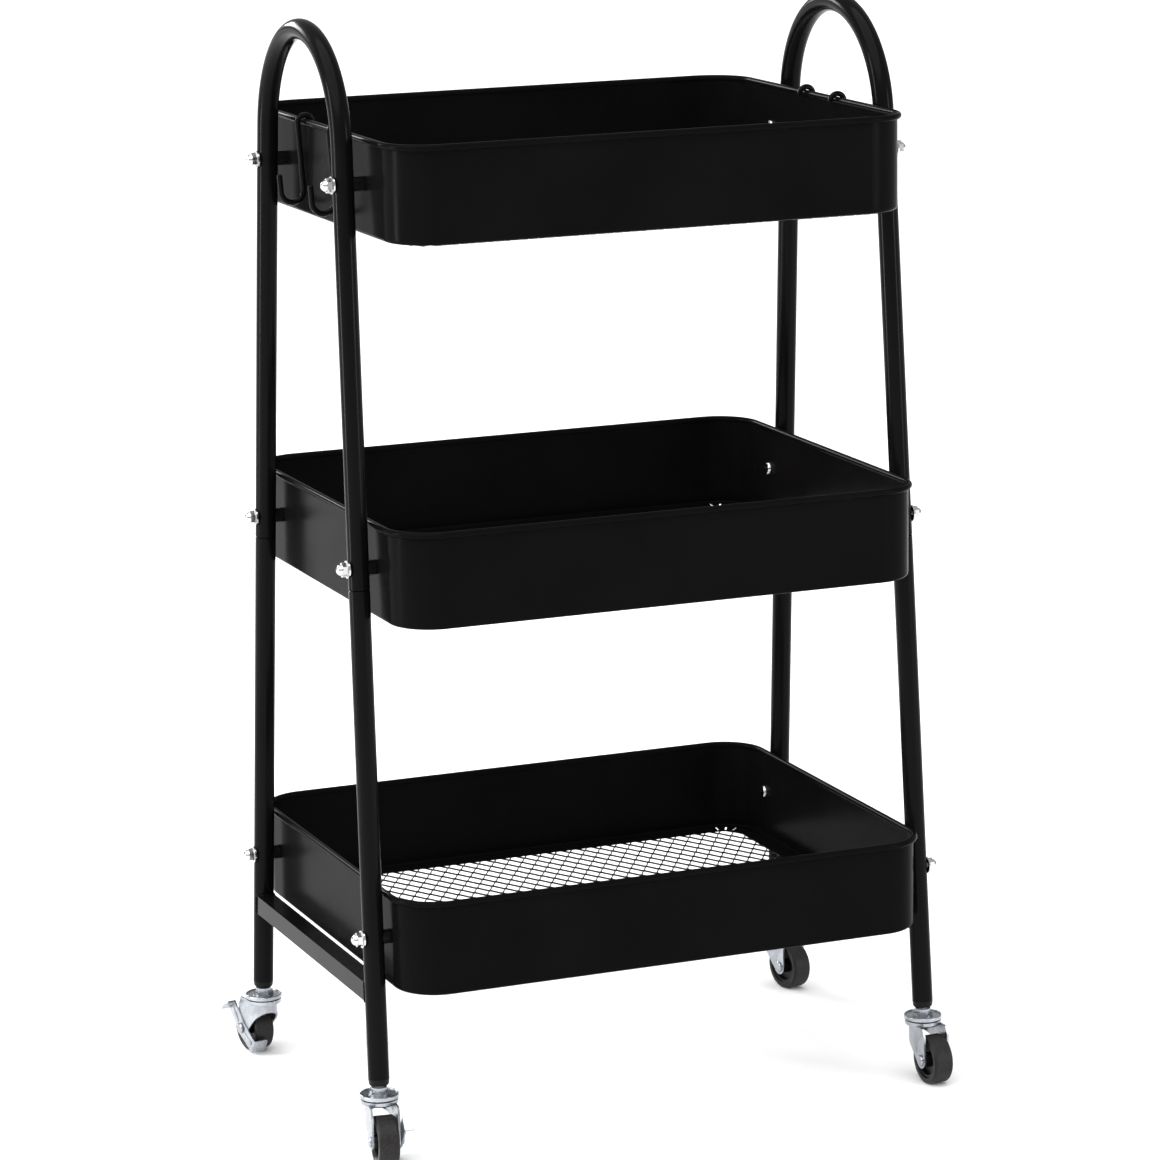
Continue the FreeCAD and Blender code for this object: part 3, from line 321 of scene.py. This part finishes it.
def new_piece(name, points, faces, material):
    """Mesh object in the scene, with one material."""
    mesh = bpy.data.meshes.new(name)
    mesh.from_pydata(points, [], faces)
    mesh.validate()
    mesh.materials.append(material)
    piece = bpy.data.objects.new(name, mesh)
    bpy.context.scene.collection.objects.link(piece)
    return piece


MESH_HALF_X = 0.0067       # half a diamond, short way
MESH_HALF_Y = 0.0109       # half a diamond, long way
BOND_HALF_X = 0.0012       # half the knot's width
BOND_HALF_Y = 0.0010       # half the knot's straight side
TIP_HALF_X = 0.0005        # blunt end of a hole
TIP_BACK = 0.0015          # hole's end short of the cell's corner
STRAND_TILT = 0.00045      # edges of a strand above and below its middle
MESH_SHEET = 0.0009        # thickness of the slit sheet
MESH_DROP = 0.00095        # middle of the mesh under the flange's lower face
MESH_EDGE = 0.0005         # mesh edge inside the CAD panel
MESH_CORNER = 0.0245       # corner radius of the mesh's outline
CLOSED_UP = 2.0e-8         # twice the area under which a triangle has vanished


def inside_rounded(x, y, half_x, half_y, radius):
    """True inside a rounded rectangle."""
    over_x = abs(x) - (half_x - radius)
    over_y = abs(y) - (half_y - radius)
    if over_x <= 0 or over_y <= 0:
        return abs(x) <= half_x and abs(y) <= half_y
    return math.hypot(over_x, over_y) <= radius


def held_in_rounded(x, y, half_x, half_y, radius):
    """Nearest place inside a rounded rectangle."""
    x, y = max(-half_x, min(half_x, x)), max(-half_y, min(half_y, y))
    if inside_rounded(x, y, half_x, half_y, radius):
        return x, y
    over_x = abs(x) - (half_x - radius)
    over_y = abs(y) - (half_y - radius)
    pull = radius / math.hypot(over_x, over_y)
    return (math.copysign(half_x - radius + over_x * pull, x),
            math.copysign(half_y - radius + over_y * pull, y))


def spans_area(points, face):
    """False for a triangle that has closed up on the mesh's edge."""
    a, b, c = (Vector(points[n]) for n in face)
    return (b - a).cross(c - a).length > CLOSED_UP


def expanded_floor(tier, material):
    """Expanded metal: one diamond hole per cell, with strands that all tilt the same way.

    Each cell is a ring of triangles from its four corners, which its neighbours share, to
    its hole's eight points. Cells that cross the outline are pulled in to it.
    """
    _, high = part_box(f"{tier}_mesh_floor")
    outline = (high[0] - MESH_EDGE, high[1] - MESH_EDGE, MESH_CORNER)
    a, b = MESH_HALF_X, MESH_HALF_Y
    side_x, tip_y = a - BOND_HALF_X, b - TIP_BACK
    half_hole = [(side_x, -BOND_HALF_Y), (side_x, BOND_HALF_Y), (TIP_HALF_X, tip_y), (-TIP_HALF_X, tip_y)]
    hole = half_hole + [(-dx, -dy) for dx, dy in half_hole]
    steps = [(1, 0), (0, 1), (-1, 0), (0, -1)]
    points, faces, shared = [], [], {}
    level = high[2] - MESH_DROP

    def corner_index(column, row):
        if (column, row) not in shared:
            shared[column, row] = len(points)
            points.append((*held_in_rounded(column * a, row * b, *outline), level))
        return shared[column, row]

    columns, rows = int(outline[0] / a) + 2, int(outline[1] / b) + 2
    for column in range(-columns, columns + 1):
        for row in range(-rows, rows + 1):
            x, y = column * a, row * b
            if (column + row) % 2 or not any(inside_rounded(x + i * a, y + j * b, *outline)
                                             for i, j in steps):
                continue
            first = len(points)
            for dx, dy in hole:
                drop = STRAND_TILT * max(-1.0, min(1.0, dx / (0.5 * a)))
                points.append((*held_in_rounded(x + dx, y + dy, *outline), level - drop))
            east, north, west, south = (corner_index(column + i, row + j) for i, j in steps)
            p = [first + n for n in range(len(hole))]
            faces += [(east, p[1], p[0]), (east, north, p[2]), (east, p[2], p[1]), (north, p[3], p[2]),
                      (north, west, p[4]), (north, p[4], p[3]), (west, p[5], p[4]), (west, south, p[6]),
                      (west, p[6], p[5]), (south, p[7], p[6]), (south, east, p[0]), (south, p[0], p[7])]
    faces = [face for face in faces if spans_area(points, face)]
    piece = new_piece(f"{tier}_expanded_floor", points, faces, material)
    thick = piece.modifiers.new("sheet", "SOLIDIFY")
    thick.thickness = MESH_SHEET
    thick.offset = 0.0
    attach(piece, "cart_frame")
    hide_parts(f"{tier}_mesh_floor")


TUBE_RADIUS = 0.008
LEG_TILT = math.radians(4.26)      # outward lean of each leg toward its foot
BEAD_RADIUS = 0.0013
BEAD_SIDES = 8                     # points round the bead's section
BEAD_STEPS = 14                    # points of the bead along each side of the bar


def weld_path(half, axis_y, level, end):
    """Closed line where a square bar's four faces meet the round leg."""
    line = []
    steps = BEAD_STEPS
    across = [half * (2 * n / steps - 1) for n in range(steps)]
    for side, run in ((1, across), (-1, [-x for x in across])):
        for x in run:
            z = side * half
            y = axis_y(level + z) - math.sqrt(TUBE_RADIUS ** 2 - x * x)
            line.append((x, end * y, level + z))
        for n in range(steps):
            z = side * half * (1 - 2 * n / steps)
            y = axis_y(level + z) - math.sqrt(TUBE_RADIUS ** 2 - half * half)
            line.append((side * half, end * y, level + z))
    return line


def weld_bead(name, side, end, material):
    """Bead round the end of a crossbar, with a ripple every few steps and some unevenness."""
    low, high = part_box(f"{side}_crossbar")
    half = (high[2] - low[2]) / 2
    level = (high[2] + low[2]) / 2
    centre_x = (high[0] + low[0]) / 2
    leg_low, leg_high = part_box(f"{side}_{end}_leg")
    sign = 1 if end == "rear" else -1
    foot = max(abs(leg_low[1]), abs(leg_high[1])) - TUBE_RADIUS * math.cos(LEG_TILT)
    foot_z = leg_low[2] + TUBE_RADIUS * math.sin(LEG_TILT)

    def axis_y(z):
        """Distance of the leg's axis from the middle of the cart at a height."""
        return foot - (z - foot_z) * math.tan(LEG_TILT)

    path = [Vector((centre_x + x, y, z)) for x, y, z in weld_path(half, axis_y, level, sign)]
    count, around = len(path), BEAD_SIDES
    points, faces = [], []
    for n, here in enumerate(path):
        ahead = (path[(n + 1) % count] - path[n - 1]).normalized()
        side_way = ahead.cross(Vector((0, 1, 0))).normalized()
        other = ahead.cross(side_way).normalized()
        ripple = BEAD_RADIUS * (1 + 0.16 * math.sin(2 * math.pi * n / 3.5) + 0.08 * math.sin(1.7 * n))
        for k in range(around):
            angle = 2 * math.pi * k / around
            points.append(here + ripple * (math.cos(angle) * side_way + math.sin(angle) * other))
        for k in range(around):
            nxt = (n + 1) % count
            faces.append((n * around + k, n * around + (k + 1) % around,
                          nxt * around + (k + 1) % around, nxt * around + k))
    piece = new_piece(name, [tuple(p) for p in points], faces, material)
    piece.data.shade_smooth()
    round_off = piece.modifiers.new("round", "SUBSURF")
    round_off.levels = 1
    round_off.render_levels = 1
    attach(piece, "cart_frame")


# ---------------------------------------------------------------- stage, light and camera

CAMERA_PLACE = (-1.3094, -3.2058, 1.1547)
CAMERA_YAW = -22.178       # degrees from +Y, positive toward -X
CAMERA_PITCH = -12.381     # degrees above the horizon
CAMERA_ROLL = -0.891       # degrees round the line of sight
SENSOR_WIDTH = 36.0        # millimetres, as the lens
LENS = 141.58
FLOOR_HALF = 40.0
WORLD_STRENGTH = 0.52


def add_floor():
    """Wide sheet of paper under the cart."""
    points = [(FLOOR_HALF * x, FLOOR_HALF * y, 0) for x, y in ((-1, -1), (1, -1), (1, 1), (-1, 1))]
    floor = new_piece("studio_floor", points, [(0, 1, 2, 3)], studio_floor("studio_paper"))


def add_world():
    """Even white surroundings."""
    world = bpy.data.worlds.new("studio_world")
    world.use_nodes = True
    background = world.node_tree.nodes["Background"]
    background.inputs["Color"].default_value = (1.0, 1.0, 1.0, 1.0)
    background.inputs["Strength"].default_value = WORLD_STRENGTH
    bpy.context.scene.world = world


def add_softbox(name, place, target, width, height, power):
    """Rectangular lamp that faces a target, unseen by the camera."""
    light = bpy.data.lights.new(name, "AREA")
    light.shape = "RECTANGLE"
    light.size, light.size_y = width, height
    light.energy = power
    lamp = bpy.data.objects.new(name, light)
    lamp.location = place
    lamp.visible_camera = False
    lamp.rotation_euler = (Vector(target) - Vector(place)).to_track_quat("-Z", "Y").to_euler()
    bpy.context.scene.collection.objects.link(lamp)


def add_sky_light(name, heading, spread, strength):
    """Even overhead light with soft shadows; spread is its angular diameter."""
    light = bpy.data.lights.new(name, "SUN")
    light.angle = math.radians(spread)
    light.energy = strength
    lamp = bpy.data.objects.new(name, light)
    lamp.rotation_euler = Vector(heading).to_track_quat("-Z", "Y").to_euler()
    bpy.context.scene.collection.objects.link(lamp)


def add_camera():
    """Camera at its fitted place, turned by its yaw, pitch and roll."""
    camera = bpy.data.cameras.new("photo_camera")
    camera.sensor_fit = "HORIZONTAL"
    camera.sensor_width = SENSOR_WIDTH
    camera.lens = LENS
    camera.clip_end = 200.0
    holder = bpy.data.objects.new("photo_camera", camera)
    yaw, pitch, roll = (math.radians(v) for v in (CAMERA_YAW, CAMERA_PITCH, CAMERA_ROLL))
    ahead = Vector((-math.sin(yaw) * math.cos(pitch), math.cos(yaw) * math.cos(pitch), math.sin(pitch)))
    right = Vector((math.cos(yaw), math.sin(yaw), 0.0))
    up = right.cross(ahead)
    turned_right = right * math.cos(roll) + up * math.sin(roll)
    turned_up = up * math.cos(roll) - right * math.sin(roll)
    axes = Matrix((turned_right, turned_up, -ahead)).transposed()
    holder.matrix_world = Matrix.Translation(CAMERA_PLACE) @ axes.to_4x4()
    bpy.context.scene.collection.objects.link(holder)
    bpy.context.scene.camera = holder


# ---------------------------------------------------------------- build

finishes = paint_cad()
for tier in TIERS:
    expanded_floor(tier, finishes["mesh_coat"])
for side in SIDES:
    for end in ENDS:
        weld_bead(f"{side}_{end}_weld", side, end, finishes["powder_coat"])
add_floor()
add_world()
add_sky_light("overhead", heading=(0.35, 0.25, -1.0), spread=80.0, strength=3.4)
add_softbox("left_strip", place=(-2.6, 0.5, 0.9), target=(0, 0, 0.45), width=0.35, height=1.8, power=48)
add_softbox("right_strip", place=(2.2, -2.6, 1.0), target=(0, 0, 0.45), width=0.5, height=1.6, power=30)
add_softbox("back_strip", place=(-1.0, 2.8, 1.5), target=(0, 0, 0.5), width=1.2, height=0.6, power=45)
add_camera()
bpy.context.scene.view_settings.view_transform = "Standard"
